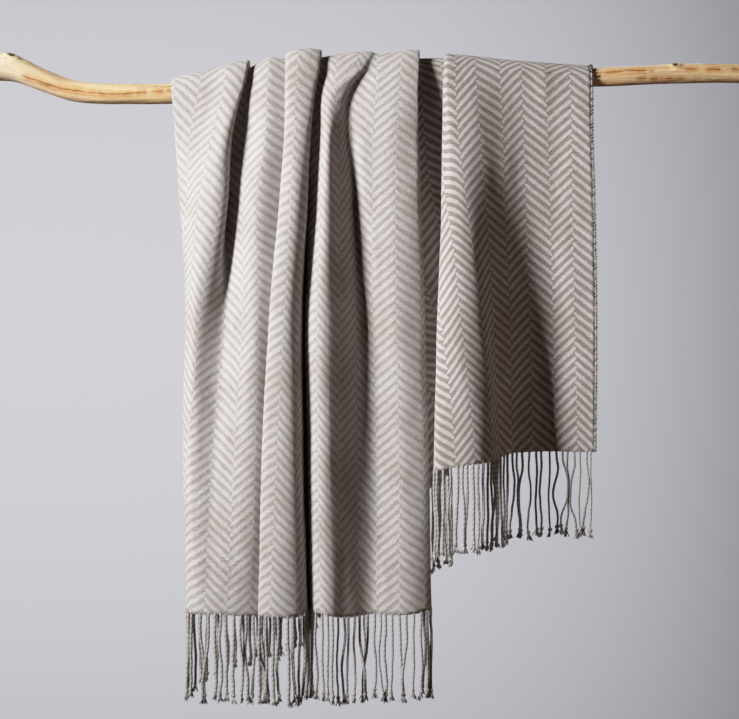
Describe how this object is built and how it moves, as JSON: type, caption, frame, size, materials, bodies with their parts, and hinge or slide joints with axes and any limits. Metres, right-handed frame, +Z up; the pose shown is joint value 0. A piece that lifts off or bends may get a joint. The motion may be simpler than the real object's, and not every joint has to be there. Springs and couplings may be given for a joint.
{
  "type": "silk throw blanket on a wooden pole",
  "caption": "Fringed silk throw hung in deep pleats over a peeled wooden pole, longer at the left, with twisted strands along both hems.",
  "frame": {"origin": "centre of the pole's sawn left end", "axes": "+X along the pole to its right end, +Z up, the long front of the throw faces -Y"},
  "size_m": [1.2, 0.1873, 1.0476],
  "materials": {
    "throw_cloth": "brushed herringbone weave",
    "fringe": "twisted silk strands",
    "pole_wood": "peeled and dried"
  },
  "bodies": {
    "root": {"throw_cloth": "throw_cloth", "front_fringe": "fringe", "back_fringe": "fringe", "pole": "pole_wood"}
  },
  "joints": []
}
